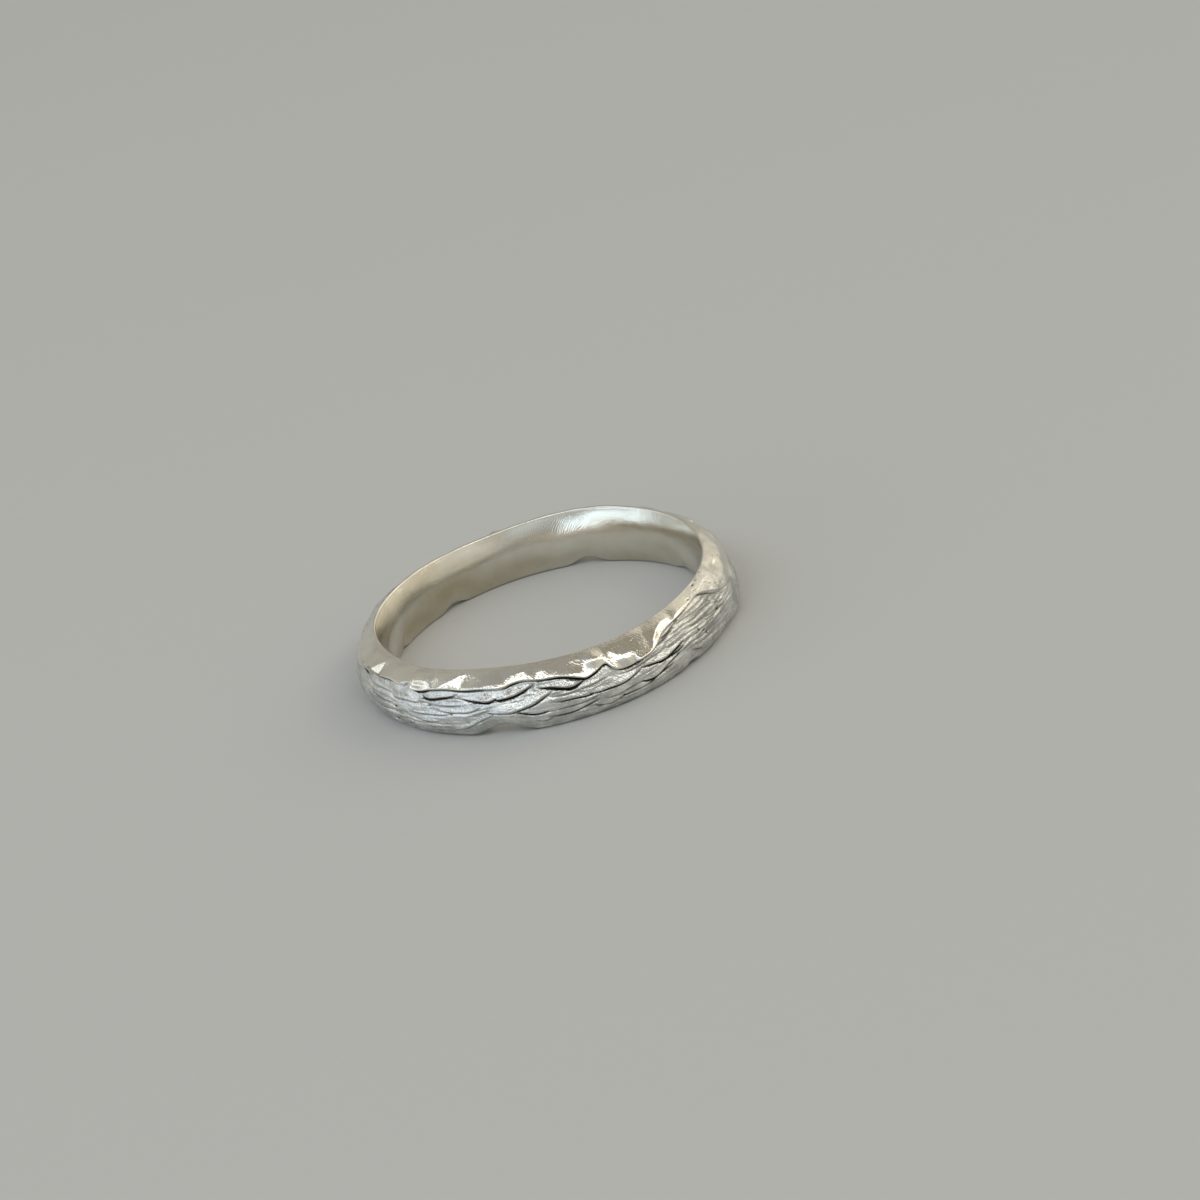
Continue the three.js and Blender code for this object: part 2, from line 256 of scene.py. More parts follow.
# The facets from turn to turn, and how strongly each swells.
FACETS = table(
    "from to swell",
    (183, 197.5, 0.6),
    (197.5, 205, 0.7),
    (205, 217.5, 0.9),
    (217.5, 228, 1.3),
    (228, 239.5, 0.9),
    (239.5, 252, 0.8),
    (252, 262.6, 0.9),
    (262.6, 270.4, 1.0),
    (270.4, 277, 0.9),
    (277, 284.6, 0.9),
    (284.6, 288, 0.8),
    (288, 299.5, 0.9),
    (299.5, 310.6, 1.2),
    (310.6, 321.5, 0.8),
    (321.5, 341, 0.5),
    (341, 358, 0.4),
)

SHOULDER_LIFT = 0.03
SHOULDER_UNEVEN = 0.008
# Slope of a facet at its creases.
FACET_SLOPE = 0.13
# The girth over which the lift and the facets grow from nothing at the finger edge.
LIFT_FADE = 0.06
FACET_FADE = 0.12
# Creases lean by up to so many degrees of turn for each unit of girth, about a girth that stays in
# place, and they lean either way in so many waves for 360 degrees.
CREASE_LEAN = 8
CREASE_PIVOT = 0.12
CREASE_WAVES = 11


def shoulder_height(front, girth):
    """Height in mm over the mean face: up the upper plane to the ridge, then along the lower one, and
    on each facet a swell t(1-t) that ends in creases of a given slope. The creases lean either way."""
    lean = CREASE_LEAN * (girth - CREASE_PIVOT) * np.sin(np.radians(CREASE_WAVES * front))
    leaning = front + lean
    ridge = np.minimum(girth, np.interp(leaning, RIDGE["turn"], RIDGE["girth"]))
    brow = np.maximum(ridge, np.minimum(girth, np.interp(leaning, BROW["turn"], BROW["girth"])))
    height = SHOULDER_LIFT * smooth(girth, 0, LIFT_FADE) + np.interp(ridge, FACE_GIRTH, UPPER_RISE)
    height += np.interp(brow, FACE_GIRTH, LOWER_RISE) - np.interp(ridge, FACE_GIRTH, LOWER_RISE)
    for start, end, swell in zip(*FACETS.values()):
        t = np.clip((leaning - start) / (end - start), 0, 1)
        arc = np.radians(end - start) * (EDGE_RADIUS + WALL)
        height += FACET_SLOPE * swell * arc * t * (1 - t) * smooth(girth, 0, FACET_FADE)
    return height + SHOULDER_UNEVEN * waves(front, girth, laps=(4, 20), across=(1, 5), seed=3)


# The crevice under the shoulder's lip, and how wide open and dark it is; that dark is oxide with painted
# shade.
CREVICE = table(
    "turn girth open",
    (180, 0.36, 0.0),
    (189, 0.35, 0.1),
    (195, 0.25, 0.35),
    (200, 0.268, 0.5),
    (205, 0.258, 0.4),
    (210, 0.242, 0.4),
    (215, 0.262, 0.3),
    (217.5, 0.215, 0.5),
    (220, 0.282, 0.8),
    (223.5, 0.292, 1.0),
    (227, 0.264, 0.6),
    (233, 0.25, 0.6),
    (238, 0.266, 0.7),
    (244, 0.28, 0.6),
    (250, 0.306, 0.3),
    (252.5, 0.296, 0.5),
    (255.5, 0.243, 0.7),
    (259, 0.216, 0.5),
    (263, 0.24, 0.6),
    (269, 0.258, 0.8),
    (272, 0.287, 1.1),
    (275.3, 0.338, 1.2),
    (277.2, 0.362, 1.1),
    (280.5, 0.322, 1.1),
    (284, 0.27, 0.9),
    (286, 0.375, 0.4),
    (288.5, 0.413, 0.8),
    (293, 0.405, 0.7),
    (298, 0.38, 0.6),
    (301, 0.33, 0.3),
    (304, 0.262, 0.5),
    (308, 0.217, 0.5),
    (313, 0.205, 0.6),
    (320, 0.172, 0.5),
    (325.5, 0.162, 0.5),
    (329, 0.225, 0.5),
    (334, 0.35, 0.3),
    (340, 0.415, 0.1),
)

# Centre lines run from start to end in girth, half is half the width, peak says how far along a strand
# is widest, lift how steeply it stands out, gape how dark and deep the groove under it is, and ripple
# how strong its cross ripples are.
STRANDS = table(
    "from to start end half peak lift gape ripple",
    (205, 221, 0.86, 0.86, 0.035, 0.5, 0.9, 0.4, 0),
    (219, 237, 0.84, 0.83, 0.035, 0.5, 0.9, 0.4, 0),
    (203, 219, 0.8, 0.79, 0.04, 0.5, 0.95, 0.44, 0),
    (312, 330, 0.79, 0.8, 0.026, 0.5, 0.9, 0.36, 0),
    (284, 305, 0.775, 0.685, 0.045, 0.4, 1.05, 0.9, 0),
    (277, 287, 0.775, 0.775, 0.055, 0.6, 0.9, 0.9, 0),
    (259.5, 265, 0.77, 0.775, 0.036, 0.6, 1.3, 0.6, 0),
    (311.5, 318.5, 0.72, 0.75, 0.045, 0.6, 0.9, 0.6, 0),
    (322, 346, 0.72, 0.7, 0.024, 0.5, 0.9, 0.36, 0),
    (309, 327, 0.66, 0.68, 0.024, 0.5, 0.9, 0.43, 0),
    (220, 231, 0.665, 0.665, 0.045, 0.5, 1.05, 0.44, 0),
    (263, 279.3, 0.755, 0.69, 0.05, 0.6, 0.9, 0.8, 0),
    (232, 249, 0.77, 0.68, 0.055, 0.5, 1.05, 0.44, 0),
    (280, 296, 0.705, 0.66, 0.045, 0.5, 0.95, 0.5, 0),
    (254, 266, 0.66, 0.655, 0.03, 0.5, 0.95, 0.85, 0),
    (318, 347, 0.63, 0.64, 0.022, 0.5, 0.9, 0.4, 0),
    (196, 218, 0.62, 0.61, 0.04, 0.5, 0.85, 0.44, 0),
    (292.5, 309, 0.69, 0.585, 0.058, 0.4, 1.0, 1.0, 0.2),
    (262.5, 281, 0.66, 0.635, 0.036, 0.5, 0.95, 0.5, 0),
    (240, 256, 0.62, 0.6, 0.02, 0.5, 0.9, 0.5, 0),
    (306, 328, 0.595, 0.61, 0.022, 0.4, 0.9, 0.43, 0),
    (313, 345, 0.57, 0.58, 0.02, 0.5, 0.9, 0.4, 0),
    (218, 236, 0.565, 0.56, 0.04, 0.5, 0.95, 0.44, 0),
    (264, 280.7, 0.55, 0.555, 0.05, 0.66, 0.9, 0.9, 0.3),
    (308, 331, 0.52, 0.52, 0.022, 0.5, 1, 0.43, 0),
    (316, 343, 0.485, 0.53, 0.018, 0.6, 0.9, 0.47, 0),
    (198, 213, 0.5, 0.505, 0.036, 0.5, 0.95, 0.44, 0),
    (228, 246, 0.52, 0.52, 0.044, 0.6, 1.05, 0.44, 1.0),
    (276.5, 294, 0.565, 0.525, 0.062, 0.45, 1.0, 0.9, 0.3),
    (299.5, 310, 0.562, 0.56, 0.022, 0.5, 1.2, 0.85, 0),
    (293.5, 310.5, 0.51, 0.5, 0.052, 0.5, 1.0, 1.0, 0),
    (246.5, 266.6, 0.64, 0.425, 0.09, 0.4, 1.15, 1.0, 0.3),
    (312, 341, 0.43, 0.49, 0.018, 0.5, 0.9, 0.4, 0),
    (302, 324, 0.445, 0.46, 0.02, 0.5, 0.9, 0.4, 0),
    (265, 286, 0.475, 0.42, 0.042, 0.5, 1.05, 0.45, 0.2),
    (225, 244, 0.44, 0.44, 0.03, 0.5, 0.95, 0.44, 0),
    (210.5, 224, 0.42, 0.42, 0.044, 0.5, 1.05, 0.44, 0.8),
    (284, 304, 0.455, 0.43, 0.032, 0.5, 0.95, 0.45, 0),
    (304, 338, 0.385, 0.43, 0.02, 0.55, 0.9, 0.47, 0),
    (195, 213, 0.375, 0.375, 0.035, 0.5, 0.95, 0.44, 0),
    (262, 276.6, 0.335, 0.365, 0.072, 0.6, 1.1, 1.2, 0.6),
    (313, 336, 0.315, 0.38, 0.016, 0.4, 0.9, 0.4, 0),
    (306, 326, 0.335, 0.345, 0.018, 0.5, 0.9, 0.43, 0),
    (224, 237, 0.335, 0.32, 0.055, 0.4, 1.0, 1.0, 0.2),
    (249.4, 262.4, 0.435, 0.265, 0.07, 0.3, 1.1, 1.1, 0.4),
    (235.5, 250.3, 0.345, 0.425, 0.075, 0.74, 1.1, 1.1, 0.2),
    (309, 333, 0.275, 0.31, 0.018, 0.6, 0.9, 0.47, 0),
    (298, 313, 0.36, 0.22, 0.024, 0.5, 1.2, 0.6, 0),
    (302.3, 311, 0.285, 0.225, 0.034, 0.45, 0.9, 0.6, 0.6),
    (311, 329, 0.235, 0.25, 0.014, 0.5, 1, 0.4, 0),
)

CALM_LEVEL = 0.04
BARK_UNEVEN = 0.012
# A strand's slope grows with the girth up to the second value. Its crest is the place across it, -1 at
# the upper edge and 1 at the lower, from which it rolls over and loses a share of its height.
STRAND_STEEPEN = 0.85
STRAND_SLOPE = 0.36
STRAND_CREST = 0.45
STRAND_ROLL = 0.6
# Power of the sine that narrows a strand towards both ends.
STRAND_TAPER = 0.6
# A strand covers what it overlaps by the first place across it, and hides its grooves by the second.
COVER_BY = 0.4
HIDE_BY = -0.6
# How far a strand's width and its middle waver, as shares of the width, how many times round the
# finger, and the degrees of phase for each unit of its girth, so that no two waver together.
WIDTH_WAVER = 0.16
WIDTH_WAVES = 31
WIDTH_PHASE = 900
MIDDLE_WAVER = 0.1
MIDDLE_WAVES = 23
MIDDLE_PHASE = 700
# Height of the cross ripples, the degrees from one to the next, and the degrees by which each bows.
RIPPLE_HEIGHT = 0.01
RIPPLE_SPACING = 1.25
RIPPLE_BOW = 1.1
GROOVE_DEPTH = 0.08
GROOVE_WIDTH = 0.07
CREVICE_DEPTH = 0.12
CREVICE_WIDTH = 0.07
# The crevice's share of that width when shut, what opening adds to it, and how fast it darkens.
CREVICE_SHUT = 0.6
CREVICE_WIDEN = 0.5
CREVICE_DARKEN = 1.2


def bark_height(front, girth, lip_girth, open_share):
    """Height in mm of the bark over its lowest level, and how deep in a groove each place lies, 0 to 1: the
    mask that paints oxide and shade there.
    Each strand is a lens in plan. Across, it rises at a steady slope, steeper low on the face, and rolls
    over to its lower edge, where a groove exp(-(d/w)^2) parts it from the strand under it."""
    fibre = (girth - lip_girth) / (1 - lip_girth)
    level = CALM_LEVEL + BARK_UNEVEN * waves(front, fibre, laps=(0, 5), across=(5, 13), seed=11)
    groove = np.zeros(level.shape)
    for first, last, start, end, half, peak, lift, gape, ripple in zip(*STRANDS.values()):
        t = np.clip((front - first) / (last - first), 0, 1)
        taper = np.sin(np.pi * t ** (math.log(0.5) / math.log(peak))) ** STRAND_TAPER
        widening = WIDTH_WAVER * np.sin(np.radians(WIDTH_WAVES * front + WIDTH_PHASE * start))
        width = half * taper * (1 + widening)
        aside = MIDDLE_WAVER * half * np.sin(np.radians(MIDDLE_WAVES * front + MIDDLE_PHASE * end))
        middle = start + (end - start) * smooth(t, 0, 1) + aside
        across = (girth - middle) / (width + 1e-6)
        inside = (np.abs(across) < 1) & (t > 0) & (t < 1)
        ramp = np.clip((across + 1) / (STRAND_CREST + 1), 0, 1)
        roll = np.clip((across - STRAND_CREST) / (1 - STRAND_CREST), 0, 1)
        slope = lift * np.minimum(STRAND_STEEPEN * middle, STRAND_SLOPE)
        own = slope * (STRAND_CREST + 1) * width * FACE_LENGTH * ramp * (1 - STRAND_ROLL * roll**2)
        swing = np.cos(2 * np.pi * (front + RIPPLE_BOW * across**2) / RIPPLE_SPACING)
        own += RIPPLE_HEIGHT * ripple * swing * (1 - across**2)
        mixed = np.maximum(level, own) + smooth(across, -1, COVER_BY) * np.minimum(0, own - level)
        level = np.where(inside, mixed, level)
        groove = np.where(inside, groove * (1 - smooth(across, -1, HIDE_BY)), groove)
        # A dark line is painted just under the strand's lower edge: the oxide and the shade in its groove.
        below = (across - 1) * width * FACE_LENGTH
        line = gape * np.sqrt(taper) * (t > 0) * (t < 1) * np.exp(-((below / GROOVE_WIDTH) ** 2))
        level = level - GROOVE_DEPTH * line
        groove = np.maximum(groove, line)
    # The crevice under the lip is deepened and also painted dark: its shade is painted in, along with
    # oxide.
    crevice_width = CREVICE_WIDTH * (CREVICE_SHUT + CREVICE_WIDEN * open_share)
    under = (girth - lip_girth) * FACE_LENGTH / crevice_width
    shade = np.minimum(1, open_share * CREVICE_DARKEN) * np.exp(-(under**2))
    return level - CREVICE_DEPTH * shade, np.maximum(groove, shade)


# Dents, a boss and pits, with how dark each is painted. Length is in degrees of turn,
# width in girth, and depth is a share of the deepest dent's.
DENTS = table(
    "turn girth length width depth stain",
    (280.6, 0.165, 2.7, 0.1, -1.3, 0),
    (345, 0.17, 3.0, 0.06, 1.0, 0.3),
    (331, 0.03, 0.6, 0.012, 0.3, 0.6),
    (336.5, 0.02, 0.8, 0.01, 0.25, 0.6),
    (340.5, 0.06, 0.5, 0.01, 0.25, 0.5),
    (350.5, 0.12, 0.6, 0.012, 0.3, 0.6),
    (352.5, 0.2, 0.6, 0.014, 0.3, 0.6),
    (338.5, 0.33, 0.6, 0.012, 0.3, 0.6),
    (326, 0.1, 0.5, 0.012, 0.3, 0.6),
    (352, 0.34, 5.0, 0.09, 0.5, 0.1),
    (222.6, 0.228, 2.0, 0.028, 0.3, 0),
    (328, 0.045, 1.1, 0.016, 0.35, 0.7),
    (320.8, 0.128, 0.8, 0.012, 0.3, 0.7),
    (332.5, 0.14, 0.5, 0.012, 0.25, 0.6),
    (333.5, 0.2, 0.5, 0.012, 0.25, 0.6),
    (335.5, 0.27, 0.7, 0.014, 0.3, 0.6),
    (330, 0.515, 1.0, 0.016, 0.6, 1.0),
    (317.6, 0.515, 0.4, 0.02, 0.5, 0.8),
    (319.6, 0.58, 0.7, 0.014, 0.5, 0.9),
    (320.7, 0.64, 0.5, 0.02, 0.5, 0.8),
    (212.8, 0.57, 0.8, 0.018, 0.5, 0.8),
    (211.5, 0.775, 1.2, 0.022, 0.5, 0.7),
    (192.8, 0.36, 2.8, 0.015, 0.5, 0.9),
    (227, 0.46, 0.7, 0.014, 0.4, 0.7),
    (234.6, 0.58, 0.4, 0.018, 0.4, 0.8),
    (186, 0.5, 6.0, 0.1, 0.5, 0),
    (350, 0.62, 8.0, 0.1, 0.6, 0),
)

DENT_DEPTH = 0.12


def dents(front, girth):
    """Depth in mm of the dents and how dark each is: a round bell exp(-r^2) for each."""
    depth = np.zeros(np.broadcast(front, girth).shape)
    dark = np.zeros(depth.shape)
    for turn, middle, length, width, share, darkening in zip(*DENTS.values()):
        away = (front - turn + 90) % 180 - 90
        bell = np.exp(-((away / length) ** 2) - ((girth - middle) / width) ** 2)
        depth += DENT_DEPTH * share * bell
        dark = np.maximum(dark, darkening * bell)
    return depth, dark


# Depth of the bark's lowest level under the mean face.
BARK_MEAN = 0.1
# The bark gives way to a smooth end between the first two turns and comes back between the others.
CALM_FROM = (331, 345)
CALM_TO = (182, 194)
# The relief dies out from this girth to the base.
FACE_FADE = 0.84


def face_points(turn, girth, below):
    """Radius and height of places on the face, in mm, with how deep in a groove each lies: the mask that
    paints oxide and shade there, together with the dents' darkening.
    below says which places belong to the bark's side of the shoulder's lip."""
    front = 180 + turn % 180
    lip_girth = along(CREVICE, "girth", 180, front)
    open_share = np.maximum(0, along(CREVICE, "open", 180, front))
    bark, groove = bark_height(front, girth, lip_girth, open_share)
    depth, darkening = dents(front, girth)
    shoulder = shoulder_height(front, girth)
    calm = smooth(front, *CALM_FROM) + 1 - smooth(front, *CALM_TO)
    lift = np.where(below, bark - BARK_MEAN + calm * (shoulder - bark + BARK_MEAN), shoulder)
    lift = (lift - depth) * (1 - smooth(girth, FACE_FADE, 1))
    groove = np.maximum(np.where(below, groove * (1 - calm), 0), darkening)
    x = np.interp(girth, FACE_GIRTH, FACE_OUT)
    y = np.interp(girth, FACE_GIRTH, FACE_UP)
    x_slope = np.interp(girth, FACE_GIRTH, FACE_OUT_SLOPE)
    y_slope = np.interp(girth, FACE_GIRTH, FACE_UP_SLOPE)
    low = base_height(turn)
    high = BAND_HEIGHT * along(BAND, "top", 360, turn)
    outset = WALL * along(BAND, "outset", 360, turn) * y / BAND_HEIGHT
    radius = EDGE_RADIUS + outset + x * along(BAND, "thick", 360, turn) - y_slope * lift
    height = low + y / BAND_HEIGHT * (high - low) + x_slope * lift
    return radius, np.maximum(low, height), groove


# Patches of the finger wall painted with a dim brown reflection, for the warm, shaded things that it
# mirrors:
# their middles and reaches, in degrees of turn and shares of the way up the wall.
PATCHES = table(
    "turn turn_reach up up_reach share",
    (132, 40, 0.3, 0.35, 0.75),
    (50, 45, 0.1, 0.22, 0.4),
)
EVEN_TINT = 0.06
TINT_UNEVEN = 0.12


def wall_painted_reflection(turn, up):
    """How strongly the finger wall is painted with a dim brown reflection, 0 to 1: soft bells exp(-r^2)
    low on the back wall over an even tint, with uneven edges."""
    tint = EVEN_TINT
    for middle, turn_reach, height, up_reach, share in zip(*PATCHES.values()):
        away = -(((turn - middle) / turn_reach) ** 2) - ((up - height) / up_reach) ** 2
        tint = tint + share * np.exp(away)
    return np.clip(tint + TINT_UNEVEN * waves(turn, up, laps=(1, 6), across=(0.5, 2.5), seed=21), 0, 1)


TURN_STEPS = 800
WALL_STEPS = 15
ROUND_STEPS = 3
SHOULDER_STEPS = 22
BARK_STEPS = 78
LAND_STEPS = 2
# Power of the finger wall's bulge, and the heights of its slow waves and of its ripples.
COMFORT_POWER = 2
WALL_WAVES = 0.018
WALL_RIPPLES = 0.003
# The bark starts under the lip by this share of the crevice's width.
BARK_START = 0.3
# Polish of the finger wall, where the shoulder's is 1. Near one turn of the shoulder the dull skin of
# the casting is left, and takes this share of the polish away, less further off in degrees.
WALL_POLISH = 0.85
CAST_SKIN = 0.75
CAST_SKIN_TURN = 334
CAST_SKIN_REACH = 15


def band_surface():
    """The closed surface as arrays of radius and height in mm, one row for each turn, and the finish of
    each place: depth in a groove, which is painted dark for oxide and shade, polish, and the finger wall's
    painted reflection, each 0 to 1.
    Its columns go up the finger wall, over the round edge, down the face and in along the base."""
    turn = np.linspace(0, 360, TURN_STEPS, endpoint=False)[:, None]
    low = base_height(turn)
    high = BAND_HEIGHT * along(BAND, "top", 360, turn)
    outset = WALL * along(BAND, "outset", 360, turn)
    up = (1 - np.cos(np.pi * np.linspace(0, 1, WALL_STEPS + 1)[None, :])) / 2
    belly = COMFORT * (1 - np.abs(2 * up - 1) ** COMFORT_POWER)
    slow = WALL_WAVES * waves(turn, up, laps=(1, 5), across=(0.3, 1.2), seed=5)
    fine = WALL_RIPPLES * waves(turn, up, laps=(6, 16), across=(1, 4), seed=8)
    uneven = (slow + fine) * smooth(up, 1.0, 0.8) * smooth(up, 0, 0.1)
    wall_radius = EDGE_RADIUS + outset * up**2 - belly + uneven
    wall_height = low + EDGE_ROUND + (high - low - 2 * EDGE_ROUND) * up

    bend = np.linspace(0, np.pi / 2, ROUND_STEPS + 1)[None, 1:-1]
    edge_radius = EDGE_RADIUS + outset + EDGE_ROUND * (1 - np.cos(bend))
    edge_height = high - EDGE_ROUND * (1 - np.sin(bend))

    lip = along(CREVICE, "girth", 180, 180 + turn % 180)
    shoulder_girth = lip * np.linspace(0, 1, SHOULDER_STEPS + 1)[None, :]
    bark_top = lip + BARK_START * CREVICE_WIDTH / FACE_LENGTH
    bark_girth = bark_top + (1 - bark_top) * np.linspace(0, 1, BARK_STEPS + 1)[None, :]
    girth = np.concatenate((shoulder_girth, bark_girth), axis=1)
    below = np.arange(girth.shape[1])[None, :] > SHOULDER_STEPS
    face_radius, face_height, groove = face_points(turn, girth, below)

    land = np.linspace(0, 1, LAND_STEPS + 1)[None, 1:]
    land_radius = face_radius[:, -1:] + (EDGE_RADIUS + EDGE_ROUND - face_radius[:, -1:]) * land
    land_height = low + 0 * land

    radius = np.concatenate((wall_radius, edge_radius, face_radius, land_radius), axis=1)
    height = np.concatenate((wall_height, edge_height + 0 * edge_radius, face_height, land_height), axis=1)
    sides = ((0, 0), (wall_radius.shape[1] + edge_radius.shape[1], land_radius.shape[1]))
    dull = CAST_SKIN * np.exp(-(((180 + turn % 180 - CAST_SKIN_TURN) / CAST_SKIN_REACH) ** 2))
    finish = {
        "groove": np.pad(groove, sides),
        "polish": np.pad((1.0 - below) * (1 - dull), sides, constant_values=WALL_POLISH),
        "painted_reflection": np.pad(wall_painted_reflection(turn, up), ((0, 0), (0, radius.shape[1] - up.shape[1]))),
    }
    return np.radians(turn), radius, height, finish


def closed_grid(rows, columns):
    """Four-sided faces of a grid that closes on itself both ways, with their outer sides showing."""
    i, j = np.meshgrid(np.arange(rows), np.arange(columns), indexing="ij")
    i_next, j_next = (i + 1) % rows, (j + 1) % columns
    corners = (i * columns + j, i * columns + j_next, i_next * columns + j_next, i_next * columns + j)
    return np.stack(corners, axis=-1).reshape(-1, 4)


# How far the tool marks' noise is drawn out along the strands.
GRAIN_STRETCH = 0.16


def cast_band():
    """The ring's mesh: x and y are the radius times the cosine and sine of the turn, z is the height.
    Its grain is a place in mm that is drawn together along the strands, so that noise on it is long."""
    angle, radius, height, finish = band_surface()
    points = np.stack((radius * np.cos(angle), radius * np.sin(angle), height), axis=-1)
    mesh = bpy.data.meshes.new("cast_band")
    mesh.from_pydata((points * MM).reshape(-1, 3), [], closed_grid(*radius.shape))
    mesh.shade_smooth()
    for name, values in finish.items():
        mesh.attributes.new(name, "FLOAT", "POINT").data.foreach_set("value", values.ravel())
    grain = points * (GRAIN_STRETCH, GRAIN_STRETCH, 1)
    mesh.attributes.new("grain", "FLOAT_VECTOR", "POINT").data.foreach_set("vector", grain.ravel())
    piece = bpy.data.objects.new("cast_band", mesh)
    bpy.context.scene.collection.objects.link(piece)
    return piece


band = cast_band()
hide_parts("ring_band")
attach(band, "root")

# The silver.
# Cast sterling silver, tumbled bright: pale and warm, mirror-like on the shoulder and the finger wall,
# satin in the bark, and left dark by oxide in the grooves, where polishing doesn't reach, with their shade
# painted in as well.


def linear(hex_colour):
    """An sRGB hex colour as linear red, green, blue and alpha."""
    parts = [int(hex_colour[i : i + 2], 16) / 255 for i in (1, 3, 5)]
    curve = [c / 12.92 if c <= 0.04045 else ((c + 0.055) / 1.055) ** 2.4 for c in parts]
    return (*curve, 1.0)


def add(tree, kind, settings=None, **inputs):
    """Adds a node, sets its properties, and gives each input a value or a link. An input goes by its
    label, or by i and its number, such as i0."""
    node = tree.nodes.new(kind)
    for key, value in (settings or {}).items():
        setattr(node, key, value)
    for key, value in inputs.items():
        by_number = key[0] == "i" and key[1:].isdigit()
        socket = node.inputs[int(key[1:])] if by_number else node.inputs[key.replace("_", " ")]
        if isinstance(value, bpy.types.NodeSocket):
            tree.links.new(value, socket)
        else:
            socket.default_value = value
    return node


def noise(tree, place, size, detail, roughness):
    """Noise from 0 to 1 with swells of about the given size, in the units of the place."""
    settings = {"Scale": 1 / size, "Detail": detail, "Roughness": roughness}
    return add(tree, "ShaderNodeTexNoise", Vector=place, **settings).outputs[0]


def reckon(tree, operation, *values):
    """The outcome of one step of arithmetic on values or links."""
    inputs = {f"i{number}": value for number, value in enumerate(values)}
    return add(tree, "ShaderNodeMath", {"operation": operation}, **inputs).outputs[0]


def spread(tree, value, low, high, first=0.0, last=1.0):
    """Goes evenly from first to last as the value goes from low to high, and stays there."""
    ends = {"From_Min": low, "From_Max": high, "To_Min": first, "To_Max": last}
    return add(tree, "ShaderNodeMapRange", Value=value, **ends).outputs[0]


def blend(tree, share, first, second):
    """The first colour at 0, the second at 1, and a mix of them between."""
    return add(tree, "ShaderNodeMix", {"data_type": "RGBA"}, i0=share, i6=first, i7=second).outputs[2]


def bump(tree, height, depth, strength=1.0, **under):
    """Normals as if the height, 0 to 1, were a relief of so many mm, over another relief if given."""
    relief = {"Strength": strength, "Distance": depth * MM, "Height": height}
    return add(tree, "ShaderNodeBump", **relief, **under).outputs[0]


# Sizes of the tool marks, the grains of the cast skin and the worn patches, in mm.
MARK_SIZE = 0.13
SKIN_SIZE = 0.15
WEAR_SIZE = 0.8
# File strokes: how many cross a circle round the ring, a whole number so that they close, the mm of
# height to one stroke, and how far, in radians of its sine, a stroke wanders with the wear.
STROKES_ROUND = 360.0
STROKE_RISE = 0.15 / 0.8
STROKE_WANDER = 30.0
# Reliefs in mm: strokes, skin and marks in the bark, then strokes and skin where it is polished.
BARK_STROKES = 0.003
BARK_SKIN = 0.03
BARK_MARKS = 0.03
POLISHED_STROKES = 0.0012
POLISHED_SKIN = 0.015
# Share of that skin that the finger wall keeps; the hammered shoulder keeps it all.
WALL_SKIN = 0.3


def sterling_silver():
    """Polished and satin silver with oxide and painted shade in the grooves, and a painted dim reflection
    on the finger wall.
    """
    material = bpy.data.materials.new("cast_sterling_silver")
    material.use_nodes = True
    tree = material.node_tree
    tree.nodes.clear()
    groove, polish, painted_reflection = (
        add(tree, "ShaderNodeAttribute", {"attribute_name": name}).outputs["Fac"]
        for name in ("groove", "polish", "painted_reflection")
    )
    grain = add(tree, "ShaderNodeAttribute", {"attribute_name": "grain"}).outputs["Vector"]
    place = add(tree, "ShaderNodeTexCoord").outputs["Object"]

    # Tool marks run along the strands, because the grain is drawn out along them.
    marks = noise(tree, grain, MARK_SIZE, detail=3.0, roughness=0.6)
    skin = noise(tree, place, SKIN_SIZE * MM, detail=2.0, roughness=0.6)
    wear = noise(tree, place, WEAR_SIZE * MM, detail=3.0, roughness=0.55)
    # Fine file strokes lean across the strands, and each wanders by a stroke or two.
    axis = add(tree, "ShaderNodeSeparateXYZ", Vector=place).outputs
    around = reckon(tree, "MULTIPLY", reckon(tree, "ARCTAN2", axis[1], axis[0]), STROKES_ROUND)
    rising = reckon(tree, "MULTIPLY_ADD", axis[2], 2 * math.pi / (STROKE_RISE * MM), around)
    strokes = reckon(tree, "SINE", reckon(tree, "MULTIPLY_ADD", wear, STROKE_WANDER, rising))

    # The bark's patina is paler where it is worn; the finger wall gets a painted dim brown reflection, and
    # oxide and painted shade darken the grooves.
    patina = blend(tree, spread(tree, wear, 0.38, 0.62), linear("#C4C4BF"), linear("#E8E8E4"))
    # Painted reflection: the finger wall's polished colour goes dim brown where it would mirror warm,
    # shaded surroundings.
    clean = blend(tree, painted_reflection, linear("#EDE8DC"), linear("#B3A67F"))
    bare = blend(tree, polish, patina, clean)
    # Painted shade: where the groove mask is high, the colour goes near black for the oxide and the shade
    # in the grooves.
    colour = blend(tree, spread(tree, groove, 0.2, 0.65), bare, linear("#2B2723"))
    satin = spread(tree, wear, 0.35, 0.65, 0.2, 0.32)
    rough = add(tree, "ShaderNodeMix", {"data_type": "FLOAT"}, i0=polish, i2=satin, i3=0.16).outputs[0]
    pitted = bump(tree, skin, BARK_SKIN, Normal=bump(tree, strokes, BARK_STROKES))
    grained = bump(tree, marks, BARK_MARKS, Normal=pitted)
    brushed = bump(tree, strokes, POLISHED_STROKES)
    hammered = spread(tree, polish, WALL_POLISH, 1.0, WALL_SKIN)
    smoothed = bump(tree, skin, POLISHED_SKIN, hammered, Normal=brushed)
    relief = add(tree, "ShaderNodeMix", {"data_type": "VECTOR"}, i0=polish, i4=grained, i5=smoothed)
    surface = {"Base_Color": colour, "Metallic": 1.0, "Roughness": rough, "Normal": relief.outputs[1]}
    shader = add(tree, "ShaderNodeBsdfPrincipled", **surface)
    add(tree, "ShaderNodeOutputMaterial", Surface=shader.outputs[0])
    return material


band.data.materials.append(sterling_silver())

# The studio.
# A pale matt table under soft light, and the camera at the photograph's angle to the ring.

FLOOR_HALF = 2.0


